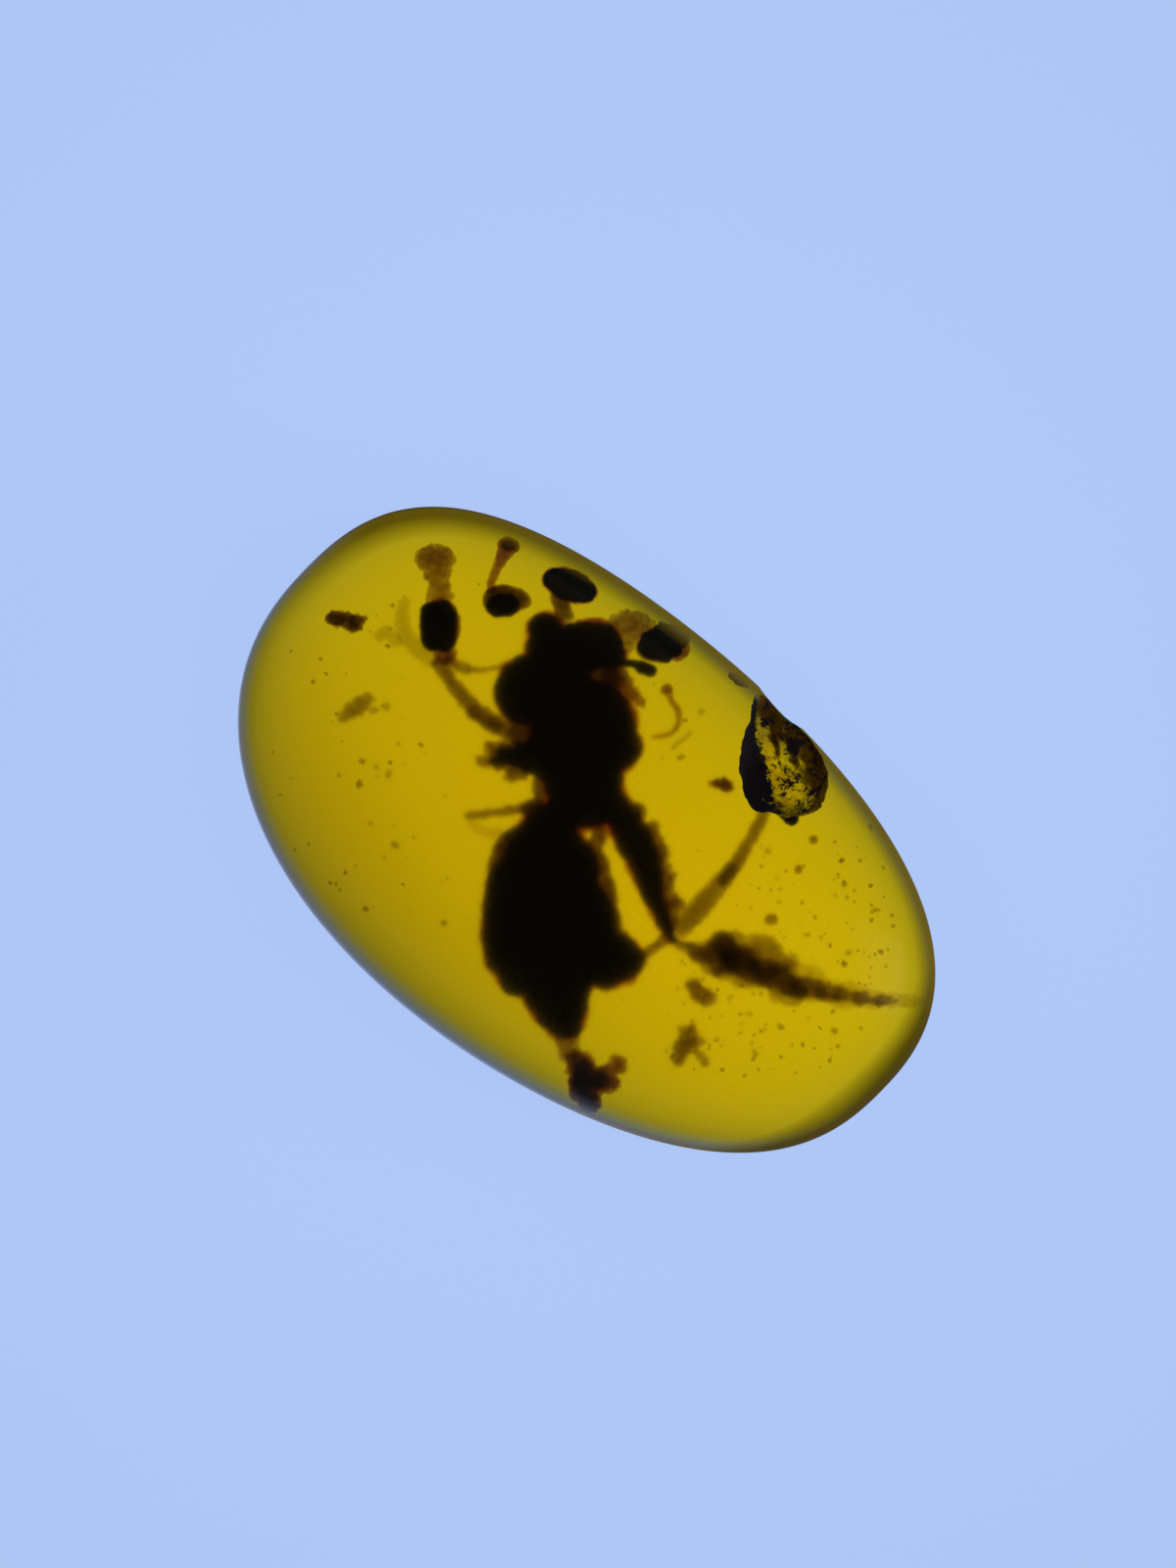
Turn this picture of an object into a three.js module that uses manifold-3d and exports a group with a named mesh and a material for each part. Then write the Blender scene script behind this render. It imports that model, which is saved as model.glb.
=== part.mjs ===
// A polished amber cabochon: one clear stone, egg-shaped from above, domed on top, ground flat underneath,
// with a hollow broken out of one long side of its rim.
import * as THREE from 'three';
import { mergeVertices } from 'three/addons/utils/BufferGeometryUtils.js';
import Module from 'manifold-3d';

const wasm = await Module();
wasm.setup();

// Driving dimensions, in millimetres. X runs along the stone and Z runs up from its flat base.
const halfLength = 6.0;
const halfWidth = 3.65;
const height = 4.4;

// Outline seen from above
const sideFullness = 2.43; // 2 is a plain ellipse, more is squarer
const taper = 0.044; // how much narrower the +X end is
const endFullness = 0.044; // extra width at both ends
const bend = 0.31; // how far both ends lie towards +Y
const sweep = 0.235; // how far the -X end lies towards +Y and the +X end towards -Y
const slant = 0.077; // how far the +Y side leans towards +X

// Section through the stone
const girdleHeight = 1.9; // height of the widest line
const girdleTilt = 0.3; // how much higher that line runs on the +Y side, and lower on the -Y side
const domeFullness = 2.15; // 2 is a round dome, more is blunter
const domeLean = 0.1; // blunter on the -Y side, rounder on the +Y side
const endLean = 0.15; // blunter at the +X end, rounder at the -X end
const baseInset = 1.46; // how far the flat base stays inside the outline
const underFullness = 2.9; // how full the curve from the base out to the widest line is
const underLean = 0.25; // fuller on the +Y side

// Mesh
const segmentsAround = 84;
const undersideRows = 8;
const domeRows = 20;

// The hollow in the rim: a deep squarish scoop, and a shallow chip that bites the outline beside it.
// Turns are in degrees. Fullness squares the section, squareness squares the plan, narrowing tapers
// the cut downwards and outward stretches its outer half.
const hollow = {
  at: [1.48, 3.17, 4.4],
  radii: [0.74, 1.06, 1.85],
  turn: 33,
  fullness: 4.5,
  narrowing: 0.1,
  squareness: 3.6,
  outward: 1.6,
};
const chip = {
  at: [1.12, 5.25, 2.0],
  radii: [1.72, 1.72, 4.0],
  turn: 0,
  fullness: 2.5,
  narrowing: 0,
  squareness: 2,
  outward: 1,
};
const cutterSegments = 36;

const amber = new THREE.MeshStandardMaterial({
  color: 0xb7920a,
  roughness: 0.08,
  metalness: 0,
  transparent: true,
  opacity: 0.6,
});

// A power that keeps the sign of its base
function signedPower(base, power) {
  return Math.sign(base) * Math.abs(base) ** power;
}

// The widest line's point at an angle around the stone
function outlinePoint(angle) {
  const along = Math.cos(angle);
  const across = signedPower(Math.sin(angle), 2 / sideFullness);
  const spread = 1 - taper * along + endFullness * along * along;
  const y = halfWidth * across * spread + bend * along ** 2 - sweep * along ** 3;
  return [halfLength * along + slant * y, y];
}

// How far out and how high a row of the mesh lies, from the base's centre (row 0) to the crown
function sectionPoint(row, angle) {
  const side = Math.sin(angle);
  const girdle = girdleHeight + girdleTilt * side;
  if (row === 0) {
    return [0, 0];
  }
  if (row <= undersideRows + 1) {
    const turn = (row - 1) / undersideRows * Math.PI / 2;
    const inset = baseInset / Math.hypot(...outlinePoint(angle));
    const power = 2 / (underFullness + underLean * side);
    const spread = 1 - inset * (1 - Math.sin(turn) ** power);
    return [spread, girdle * (1 - Math.max(Math.cos(turn), 0) ** power)];
  }
  const turn = (row - 1 - undersideRows) / domeRows * Math.PI / 2;
  const power = 2 / (domeFullness - domeLean * side + endLean * Math.cos(angle));
  return [Math.max(Math.cos(turn), 0) ** power, girdle + (height - girdle) * Math.sin(turn) ** power];
}

function positionsOnly(geometry) {
  geometry.deleteAttribute('normal');
  geometry.deleteAttribute('uv');
  return mergeVertices(geometry, 1e-5);
}

// The whole stone: a sphere's mesh laid over the outline and the section
function stoneGeometry() {
  const rows = 1 + undersideRows + domeRows;
  const geometry = positionsOnly(new THREE.SphereGeometry(1, segmentsAround, rows));
  geometry.rotateX(Math.PI / 2);
  const place = geometry.attributes.position;
  for (let i = 0; i < place.count; i += 1) {
    const angle = Math.atan2(place.getY(i), place.getX(i));
    const polar = Math.acos(THREE.MathUtils.clamp(-place.getZ(i), -1, 1));
    const row = Math.round(polar / Math.PI * rows);
    const [reach, lift] = sectionPoint(row, angle);
    const [x, y] = outlinePoint(angle);
    place.setXYZ(i, reach * x, reach * y, lift);
  }
  return geometry;
}

// A number's length under a power: 2 gives a circle, more gives a squarer curve
function squaredLength(a, b, power) {
  return (Math.abs(a) ** power + Math.abs(b) ** power) ** (1 / power);
}

// A squarish ball for breaking a piece out of the rim
function cutterGeometry({ at, radii, turn, fullness, narrowing, squareness, outward }) {
  const geometry = positionsOnly(new THREE.SphereGeometry(1, cutterSegments, cutterSegments / 2));
  const place = geometry.attributes.position;
  for (let i = 0; i < place.count; i += 1) {
    const [x, y, z] = [place.getX(i), place.getY(i), place.getZ(i)];
    const flat = Math.hypot(x, y);
    const size = squaredLength(flat, z, fullness);
    const depth = Math.min(z / size, 0);
    const round = squaredLength(x, y, squareness);
    const reach = round > 0 ? flat / round / size * (1 + narrowing * depth) : 0;
    const stretch = y > 0 ? outward : 1;
    place.setXYZ(i, x * reach, y * reach * stretch, z / size);
  }
  geometry.scale(...radii);
  geometry.rotateZ(THREE.MathUtils.degToRad(turn));
  geometry.translate(...at);
  return geometry;
}

function toSolid(geometry) {
  return new wasm.Manifold(new wasm.Mesh({
    numProp: 3,
    vertProperties: Float32Array.from(geometry.attributes.position.array),
    triVerts: Uint32Array.from(geometry.index.array),
  }));
}

function toGeometry(solid) {
  const mesh = solid.getMesh();
  const geometry = new THREE.BufferGeometry();
  geometry.setAttribute('position', new THREE.BufferAttribute(mesh.vertProperties, 3));
  geometry.setIndex(new THREE.BufferAttribute(mesh.triVerts, 1));
  geometry.computeVertexNormals();
  return geometry;
}

// The origin goes to the middle of the stone's box, on the base
function standOnOrigin(geometry) {
  geometry.computeBoundingBox();
  const centre = geometry.boundingBox.getCenter(new THREE.Vector3());
  geometry.translate(-centre.x, -centre.y, -geometry.boundingBox.min.z);
  return geometry;
}

function makeStone() {
  const whole = toSolid(stoneGeometry());
  const broken = whole.subtract(toSolid(cutterGeometry(hollow))).subtract(toSolid(cutterGeometry(chip)));
  const stone = new THREE.Mesh(standOnOrigin(toGeometry(broken)), amber);
  stone.name = 'amber';
  return stone;
}

const cabochon = new THREE.Group();
cabochon.add(makeStone());

export default cabochon;
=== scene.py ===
import math
import random

import bmesh
import bpy
from mathutils import Matrix, Vector, noise
from mathutils.bvhtree import BVHTree
from mathutils.interpolate import poly_3d_calc


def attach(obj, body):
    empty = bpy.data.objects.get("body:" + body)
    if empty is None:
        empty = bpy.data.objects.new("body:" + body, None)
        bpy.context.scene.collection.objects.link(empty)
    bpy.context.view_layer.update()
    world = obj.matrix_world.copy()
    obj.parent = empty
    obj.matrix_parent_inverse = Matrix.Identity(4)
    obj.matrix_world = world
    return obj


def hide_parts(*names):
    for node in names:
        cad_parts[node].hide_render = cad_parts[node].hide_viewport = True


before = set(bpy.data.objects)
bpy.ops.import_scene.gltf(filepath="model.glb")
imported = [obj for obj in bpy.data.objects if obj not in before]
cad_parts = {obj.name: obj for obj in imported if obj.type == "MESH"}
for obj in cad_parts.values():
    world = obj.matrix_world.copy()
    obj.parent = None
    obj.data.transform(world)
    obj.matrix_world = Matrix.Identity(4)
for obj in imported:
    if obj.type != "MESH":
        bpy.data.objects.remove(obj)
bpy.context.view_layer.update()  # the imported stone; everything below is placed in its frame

mm = 0.001
random.seed(11)
print("frame loaded")


# A node's socket that can be added and multiplied like a number
class Wire:
    def __init__(self, socket):
        self.socket = socket

    def combine(self, operation, first, second):
        made = addNode(self.socket.id_data, "ShaderNodeMath", {"operation": operation}, {0: first, 1: second})
        return Wire(made.outputs[0])

    def __add__(self, other):
        return self.combine("ADD", self, other)

    def __radd__(self, other):
        return self.combine("ADD", other, self)

    def __sub__(self, other):
        return self.combine("SUBTRACT", self, other)

    def __rsub__(self, other):
        return self.combine("SUBTRACT", other, self)

    def __mul__(self, other):
        return self.combine("MULTIPLY", self, other)

    def __rmul__(self, other):
        return self.combine("MULTIPLY", other, self)


# The settings go in first, a colour ramp's stops among them, and then the values or links of the sockets
def addNode(tree, kind, settings=None, sockets=None):
    made = tree.nodes.new(kind)
    for key, value in (settings or {}).items():
        if key == "stops":
            ramp = made.color_ramp
            while len(ramp.elements) < len(value):
                ramp.elements.new(0.5)
            for element, (position, shade) in zip(ramp.elements, value):
                element.position = position
                element.color = (*shade, 1)
        else:
            setattr(made, key, value)
    for key, value in (sockets or {}).items():
        if isinstance(value, Wire):
            tree.links.new(value.socket, made.inputs[key])
        else:
            made.inputs[key].default_value = value
    return made


def addRamp(tree, stops, value):
    stops = [(position, shade if isinstance(shade, tuple) else (shade,) * 3) for position, shade in stops]
    return Wire(addNode(tree, "ShaderNodeValToRGB", {"stops": stops}, {0: value}).outputs[0])


# Noise with grains of a size in millimetres
def addNoise(tree, place, size, detail, roughness=0.5):
    made = addNode(tree, "ShaderNodeTexNoise", None,
                   {"Vector": place, "Scale": 1 / (size * mm), "Detail": detail, "Roughness": roughness})
    return Wire(made.outputs[0])


def newFinish(name):
    finish = bpy.data.materials.new(name)
    finish.use_nodes = True
    finish.node_tree.nodes.clear()
    return finish, finish.node_tree


def objectPlace(tree):
    return Wire(addNode(tree, "ShaderNodeTexCoord").outputs["Object"])


def showSurface(tree, shader, volume=None):
    output = addNode(tree, "ShaderNodeOutputMaterial", None, {"Surface": Wire(shader.outputs[0])})
    if volume:
        tree.links.new(volume.outputs[0], output.inputs["Volume"])


# The stone, in millimetres: an egg-shaped outline, a dome above the girdle and a rounded underside below it
stone = {
    "halfLength": 6.0, "halfWidth": 3.65, "height": 4.4,
    "sideFullness": 2.43, "taper": 0.044, "endFullness": 0.044, "bend": 0.31, "sweep": 0.235, "slant": 0.077,
    "girdleHeight": 1.9, "girdleTilt": 0.3,
    "domeFullness": 2.15, "domeLean": 0.1, "endLean": 0.15,
    "baseInset": 1.46, "underFullness": 2.9, "underLean": 0.25,
    "segmentsAround": 240, "undersideRows": 16, "domeRows": 90,
}
# The broken hollow in the rim; its crust is thickest towards crustFrom
hollow = {
    "at": (1.48, 3.17, 4.4), "radii": (0.74, 1.06, 1.85), "turn": 33, "detail": 6,
    "fullness": 4.5, "narrowing": 0.1, "squareness": 3.6, "outward": 1.6,
    "ripples": [(0.06, 0.6), (0.05, 0.2), (0.02, 0.07)],
    "crustFrom": (-0.9, -0.4), "crustAt": 0.62, "crustSteepness": 2.5,
}
# The shallow chip beside it
chip = {
    "at": (1.12, 5.25, 2.0), "radii": (1.72, 1.72, 4.0), "turn": 0, "detail": 5,
    "fullness": 2.5, "narrowing": 0.0, "squareness": 2.0, "outward": 1.0, "ripples": [(0.03, 0.5)],
}
# A face further than gap from the polished skin, or turned away from it, is broken; sharper edges stay crisp
brokenTest = {"gap": 0.004, "facing": 0.9, "sharpAngle": 38}


def outlinePoint(angle):
    along = math.cos(angle)
    across = math.copysign(abs(math.sin(angle)) ** (2 / stone["sideFullness"]), math.sin(angle))
    spread = 1 - stone["taper"] * along + stone["endFullness"] * along * along
    y = stone["halfWidth"] * across * spread + stone["bend"] * along ** 2 - stone["sweep"] * along ** 3
    return Vector((stone["halfLength"] * along + stone["slant"] * y, y))


# How far out a row of the stone lies, as a share of the outline, and its height
def sectionPoint(row, angle):
    side = math.sin(angle)
    girdle = stone["girdleHeight"] + stone["girdleTilt"] * side
    under, dome = stone["undersideRows"], stone["domeRows"]
    if row == 0:
        return 0, 0
    if row <= under + 1:
        turn = (row - 1) / under * math.pi / 2
        inset = stone["baseInset"] / outlinePoint(angle).length
        power = 2 / (stone["underFullness"] + stone["underLean"] * side)
        return 1 - inset * (1 - math.sin(turn) ** power), girdle * (1 - max(math.cos(turn), 0) ** power)
    turn = (row - 1 - under) / dome * math.pi / 2
    power = 2 / (stone["domeFullness"] - stone["domeLean"] * side + stone["endLean"] * math.cos(angle))
    return max(math.cos(turn), 0) ** power, girdle + (stone["height"] - girdle) * math.sin(turn) ** power


def makeStoneShape():
    shape = bmesh.new()
    rows = 1 + stone["undersideRows"] + stone["domeRows"]
    bmesh.ops.create_uvsphere(shape, u_segments=stone["segmentsAround"], v_segments=rows, radius=1)
    for vert in shape.verts:
        angle = math.atan2(vert.co.y, vert.co.x)
        row = round(math.acos(max(-1, min(1, -vert.co.z))) / math.pi * rows)
        reach, lift = sectionPoint(row, angle)
        vert.co = (*(outlinePoint(angle) * reach), lift)
    low = Vector(min(v.co[i] for v in shape.verts) for i in range(3))
    high = Vector(max(v.co[i] for v in shape.verts) for i in range(3))
    middle = (low + high) / 2
    bmesh.ops.translate(shape, verts=shape.verts, vec=(-middle.x, -middle.y, -low.z))
    bmesh.ops.recalc_face_normals(shape, faces=shape.faces)
    return shape


def meshFrom(shape, name, scale=mm):
    bmesh.ops.scale(shape, vec=(scale, scale, scale), verts=shape.verts)
    made = bpy.data.meshes.new(name)
    shape.to_mesh(made)
    made.polygons.foreach_set("use_smooth", [True] * len(made.polygons))
    return made


def objectFrom(made, name):
    thing = bpy.data.objects.new(name, made)
    bpy.context.scene.collection.objects.link(thing)
    return thing


def cutterPlace(cut):
    turn = Matrix.Rotation(math.radians(cut["turn"]), 4, "Z")
    return Matrix.Translation(cut["at"]) @ turn @ Matrix.Diagonal((*cut["radii"], 1))


# A squarish ball with a rippled surface, for breaking pieces out of the rim
def makeCutter(cut):
    shape = bmesh.new()
    bmesh.ops.create_icosphere(shape, subdivisions=cut["detail"], radius=1)
    for vert in shape.verts:
        flat, rise = vert.co.to_2d().length, abs(vert.co.z)
        vert.co /= (flat ** cut["fullness"] + rise ** cut["fullness"]) ** (1 / cut["fullness"])
        vert.co.xy *= 1 + cut["narrowing"] * min(vert.co.z, 0)
        plan = vert.co.to_2d()
        if plan.length > 0:
            spoke = plan.normalized()
            power = cut["squareness"]
            vert.co.xy = plan / (abs(spoke.x) ** power + abs(spoke.y) ** power) ** (1 / power)
        if vert.co.y > 0:
            vert.co.y *= cut["outward"]
    bmesh.ops.transform(shape, matrix=cutterPlace(cut), verts=shape.verts)
    roughen(shape, cut["ripples"])
    return shape


seedStep = (3.7, 1.3, 2.1)  # each seed reads the noise in another place


# Moves a skin in and out; each layer is (amount, grain size)
def roughen(shape, layers, seed=0):
    shape.normal_update()
    shift = Vector(seed * step for step in seedStep)
    moves = []
    for vert in shape.verts:
        push = sum(noise.noise(vert.co / grain + shift) * amount for amount, grain in layers)
        moves.append((vert, vert.normal * push))
    for vert, move in moves:
        vert.co += move


# Takes a cutter out of an object's mesh; everything is in millimetres while it is cut
def cutAway(thing, cutter):
    tool = objectFrom(meshFrom(cutter, "cutter", 1), "cutter")
    cut = thing.modifiers.new("cut", "BOOLEAN")
    cut.operation = "DIFFERENCE"
    cut.solver = "EXACT"
    cut.object = tool
    result = bpy.data.meshes.new_from_object(thing.evaluated_get(bpy.context.evaluated_depsgraph_get()))
    thing.modifiers.clear()
    thing.data = result
    bpy.data.objects.remove(tool)


# Marks the broken faces, and how much dark crust lies on them: most along the hollow's inner and lower walls
def markBroken(made):
    broken = made.attributes.new("broken", "FLOAT", "CORNER")
    crust = made.attributes.new("crust", "FLOAT", "CORNER")
    intoHollow = cutterPlace(hollow).inverted()
    crustFrom = Vector(hollow["crustFrom"])
    for face in made.polygons:
        _, normal, _, gap = polishedTree.find_nearest(face.center / mm)
        polished = gap < brokenTest["gap"] and abs(normal.dot(face.normal)) > brokenTest["facing"]
        isBroken = 0.0 if polished else 1.0
        nearness = (intoHollow @ (face.center / mm)).to_2d().dot(crustFrom) - hollow["crustAt"]
        for corner in face.loop_indices:
            broken.data[corner].value = isBroken
            crust.data[corner].value = isBroken * max(0, min(1, 0.5 + hollow["crustSteepness"] * nearness))


wholeStone = makeStoneShape()
wholeMesh = meshFrom(wholeStone, "wholeStone", 1)
polishedTree = BVHTree.FromBMesh(wholeStone)
amberStone = objectFrom(wholeMesh, "amberStone")
for cut in (hollow, chip):
    cutAway(amberStone, makeCutter(cut))
amberStone.data.transform(Matrix.Scale(mm, 4))
amberStone.data.name = "amberStone"
amberStone.data.set_sharp_from_angle(angle=math.radians(brokenTest["sharpAngle"]))
markBroken(amberStone.data)

# The amber is clear, with a rougher polish on top than at the rim; each list of pairs is a ramp's stops
amberLook = {
    "ior": 1.54, "density": 1720, "tint": (0.987, 0.9375, 0.0), "glossTint": (0.45, 0.36, 0.14),
    "polish": [(0.6, 0.06), (0.9, 0.2)], "brokenRoughness": 0.25,
    "sunnyAcross": 0.73, "sunnyAlong": 0.525, "sunnyFrom": 0.135,  # which side is the brighter one
    # Painted shade: the amber's colour is darker on the side away from the sunny one
    "paintedSideShades": [(0.12, (0.64, 0.6, 0.5)), (0.3, (0.85, 0.83, 0.8)), (0.81, 1)],
    "grainSize": 0.03, "grains": [(0.35, 0.9), (0.65, 1)],
    "strokeTurn": 85, "strokeStretch": 0.12, "strokeSize": 0.05, "strokeDepth": 0.02,
    "strokeStrength": 0.02, "brokenStrength": 0.5,
}
# The hollow's skin: a yellow and brown film with dark crumbs on it
filmLook = {"size": 0.45, "tints": [(0.46, (0.26, 0.16, 0.005)), (0.62, (0.68, 0.53, 0.001))]}
crustLook = {"colour": (0.055, 0.043, 0.05), "roughness": 0.9, "gloss": 0.1, "size": 0.3, "thickening": 0.3,
             "share": [(0.5, 0), (0.55, 1)]}
# The rim's skin is matt, and its colour is painted shade: dark brown at the girdle and olive above it, as the
# rim's dark band, most of it on the sunny side, and wider and darker at the narrow end. The tints' stops are
# heights above the girdle, and the band's are the same plus a half
paintedRimShade = {
    "tints": [(0.01, (0.3, 0.18, 0.02)), (0.06, (0.9, 0.57, 0.003))], "roughness": 0.8,
    "band": [(0.36, 0), (0.485, 1), (0.62, 0.92), (0.72, 0)], "sides": [(0.2, 0.2), (0.42, 1)],
    "ends": [(0.34, 0), (0.4, 1)], "endSlant": 0.13, "endWidening": 0.3, "endShade": (0.5, 0.48, 0.7),
}

amberFinish, tree = newFinish("clear amber")
broken = Wire(addNode(tree, "ShaderNodeAttribute", {"attribute_name": "broken"}).outputs["Fac"])
crust = Wire(addNode(tree, "ShaderNodeAttribute", {"attribute_name": "crust"}).outputs["Fac"])
place = objectPlace(tree)
sides = addNode(tree, "ShaderNodeSeparateXYZ", None, {0: place}).outputs
along = Wire(sides[0]) * (0.5 / (stone["halfLength"] * mm))
across = Wire(sides[1]) * (0.5 / (stone["halfWidth"] * mm)) + 0.5
rise = Wire(sides[2]) * (1 / (stone["height"] * mm))
# Which side of the stone is painted brighter and which gets painted shade
sunny = across * amberLook["sunnyAcross"] + along * amberLook["sunnyAlong"] + amberLook["sunnyFrom"]
girdleSlant = 2 * stone["girdleTilt"] / stone["height"]
level = rise - (across - 0.5) * girdleSlant - stone["girdleHeight"] / stone["height"]

film = addNoise(tree, place, filmLook["size"], detail=9.0, roughness=0.8)
# The base colour holds painted shade, darker towards the shady side, and the film's own colour on the broken
# faces
colour = addNode(tree, "ShaderNodeMix", {"data_type": "RGBA"},
                 {"Factor": broken, 6: addRamp(tree, amberLook["paintedSideShades"], sunny),
                  7: addRamp(tree, filmLook["tints"], film)})
grain = addNoise(tree, place, amberLook["grainSize"], detail=3.0, roughness=0.6)
grained = addNode(tree, "ShaderNodeMix", {"data_type": "RGBA", "blend_type": "MULTIPLY"},
                  {"Factor": 1.0, 6: Wire(colour.outputs[2]), 7: addRamp(tree, amberLook["grains"], grain)})
strokes = addNode(tree, "ShaderNodeMapping", None,
                  {0: place, "Rotation": (0, 0, math.radians(amberLook["strokeTurn"])),
                   "Scale": (1, amberLook["strokeStretch"], 1)})
relief = addNode(tree, "ShaderNodeBump", None,
                 {"Strength": broken * amberLook["brokenStrength"] + amberLook["strokeStrength"],
                  "Distance": amberLook["strokeDepth"] * mm,
                  "Height": addNoise(tree, Wire(strokes.outputs[0]), amberLook["strokeSize"], detail=3.0)})
skin = addNode(tree, "ShaderNodeBsdfPrincipled", None,
               {"Base Color": Wire(grained.outputs[2]),
                "Roughness": broken * amberLook["brokenRoughness"] + addRamp(tree, amberLook["polish"], rise),
                "IOR": amberLook["ior"], "Transmission Weight": 1,
                "Specular Tint": (*amberLook["glossTint"], 1), "Normal": Wire(relief.outputs[0])})

crustMatter = addNode(tree, "ShaderNodeBsdfPrincipled", None,
                      {"Base Color": (*crustLook["colour"], 1), "Roughness": crustLook["roughness"],
                       "Specular IOR Level": crustLook["gloss"]})
crumbs = addNoise(tree, place, crustLook["size"], detail=9.0, roughness=0.75)
crumbs = crumbs + crust * crustLook["thickening"] - (1 - broken)
crusted = addNode(tree, "ShaderNodeMixShader", None,
                  {0: addRamp(tree, crustLook["share"], crumbs), 1: Wire(skin.outputs[0]),
                   2: Wire(crustMatter.outputs[0])})

# Painted shade along the rim: a dark matt skin mixed over the clear amber in a band by the girdle
rimEnd = addRamp(tree, paintedRimShade["ends"], along - across * paintedRimShade["endSlant"])
rimShade = addNode(tree, "ShaderNodeMix", {"data_type": "RGBA", "blend_type": "MULTIPLY"},
                   {"Factor": rimEnd, 6: addRamp(tree, paintedRimShade["tints"], level),
                    7: (*paintedRimShade["endShade"], 1)})
rimShadeMatter = addNode(tree, "ShaderNodeBsdfPrincipled", None,
                    {"Base Color": Wire(rimShade.outputs[2]), "Roughness": paintedRimShade["roughness"],
                     "Specular IOR Level": 0.0})
rimBand = addRamp(tree, paintedRimShade["band"], level * (1 - rimEnd * paintedRimShade["endWidening"]) + 0.5)
rimSide = addRamp(tree, paintedRimShade["sides"], sunny)
rimmed = addNode(tree, "ShaderNodeMixShader", None,
                 {0: rimBand * rimSide * (1 - broken), 1: Wire(crusted.outputs[0]),
                  2: Wire(rimShadeMatter.outputs[0])})
depthTint = addNode(tree, "ShaderNodeVolumeAbsorption", None,
                    {"Color": (*amberLook["tint"], 1), "Density": amberLook["density"]})
showSurface(tree, rimmed, depthTint)
amberStone.data.materials.append(amberFinish)
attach(amberStone, "root")
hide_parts("amber")
print("stone made")

# Sealed things are placed in millimetres as they look from above: x right and y up the view, z over the base
view = {"across": 18.13, "tallness": 1600 / 1200, "lens": 120, "sensor": 36, "at": (-0.514, 0.805),
        "level": 1.9, "turn": 40}

viewTurn = Matrix.Rotation(math.radians(view["turn"]), 3, "Z")
viewDistance = view["across"] * view["tallness"] * view["lens"] / view["sensor"]
eyePoint = Vector((*view["at"], view["level"] + viewDistance))


def surfaceNormal(hit, faceIndex):
    corners = [wholeMesh.vertices[i] for i in wholeMesh.polygons[faceIndex].vertices]
    shares = poly_3d_calc([corner.co for corner in corners], hit)
    return sum((corner.normal * share for corner, share in zip(corners, shares)), Vector()).normalized()


# Where a thing lies so that, looked at through the dome, it appears at x, y
def underDome(spot):
    seen = viewTurn @ Vector((spot.x, spot.y, view["level"]))
    ray = (seen - eyePoint).normalized()
    hit, _, faceIndex, _ = polishedTree.ray_cast(eyePoint, ray)
    if hit is None:
        return viewTurn @ spot
    normal = surfaceNormal(hit, faceIndex)
    ratio = 1 / amberLook["ior"]
    facing = -normal.dot(ray)
    bent = ray * ratio + normal * (ratio * facing - math.sqrt(1 - ratio ** 2 * (1 - facing ** 2)))
    return hit + bent * ((spot.z - hit.z) / bent.z)


# How far inside the outline a place in the view lies, at the level of the widest line
def stoneRoom(x, y):
    flat = viewTurn @ Vector((x, y, 0))
    angle = math.atan2(flat.y, flat.x)
    return outlinePoint(angle).length - flat.length


# A smooth curve that passes through every station
def smoothPath(stations, steps):
    path = []
    for i in range(len(stations) - 1):
        before, here, there, beyond = (stations[max(0, min(len(stations) - 1, i + k))] for k in (-1, 0, 1, 2))
        for step in range(steps):
            t = step / steps
            path.append(0.5 * (2 * here + (there - before) * t
                               + (2 * before - 5 * here + 4 * there - beyond) * t ** 2
                               + (3 * here - before - 3 * there + beyond) * t ** 3))
    return path + [stations[-1]]


# Each ball is (x, y, z, then three radii, then its turn in the view in degrees)
def addBall(shape, x, y, z, wide, long, deep, turn=0, detail=3):
    place = Matrix.Translation((x, y, z)) @ Matrix.Rotation(math.radians(turn), 4, "Z")
    place = place @ Matrix.Diagonal((wide, long, deep, 1))
    bmesh.ops.create_icosphere(shape, subdivisions=detail, radius=1, matrix=place)


# A limb runs through stations of (x, y, z, radius)
def addLimb(shape, stations, sides=12, steps=5):
    path = smoothPath([Vector(station) for station in stations], steps)
    last, lastHeading = path[0], (path[1] - path[0]).to_3d().normalized()
    stance = lastHeading.to_track_quat("Z", "Y").to_matrix().to_4x4()
    place = Matrix.Translation(last.to_3d()) @ stance @ Matrix.Diagonal((last.w, last.w, last.w, 1))
    verts = bmesh.ops.create_circle(shape, cap_ends=True, segments=sides, radius=1, matrix=place)["verts"]
    ring = list({edge for vert in verts for edge in vert.link_edges})
    for i in range(1, len(path)):
        here = path[i]
        heading = (path[min(i + 1, len(path) - 1)] - path[i - 1]).to_3d().normalized()
        swing = lastHeading.rotation_difference(heading).to_matrix().to_4x4()
        move = Matrix.Translation(here.to_3d()) @ swing @ Matrix.Scale(here.w / last.w, 4)
        grown = bmesh.ops.extrude_edge_only(shape, edges=ring)["geom"]
        verts = [item for item in grown if isinstance(item, bmesh.types.BMVert)]
        edges = [item for item in grown if isinstance(item, bmesh.types.BMEdge)]
        bmesh.ops.transform(shape, matrix=move @ Matrix.Translation(-last.to_3d()), verts=verts)
        ring = [edge for edge in edges if all(vert in verts for vert in edge.verts)]
        last, lastHeading = here, heading
    bmesh.ops.edgeloop_fill(shape, edges=ring)


def makeShape(parts, swell=0.0):
    shape = bmesh.new()
    for part in parts.get("balls", []):
        x, y, z, wide, long, deep, *turn = part
        addBall(shape, x, y, z, wide + swell, long + swell, deep + swell, *turn)
    for stations in parts.get("limbs", []):
        addLimb(shape, [(x, y, z, radius + swell) for x, y, z, radius in stations])
    bmesh.ops.recalc_face_normals(shape, faces=shape.faces)
    return shape


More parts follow.
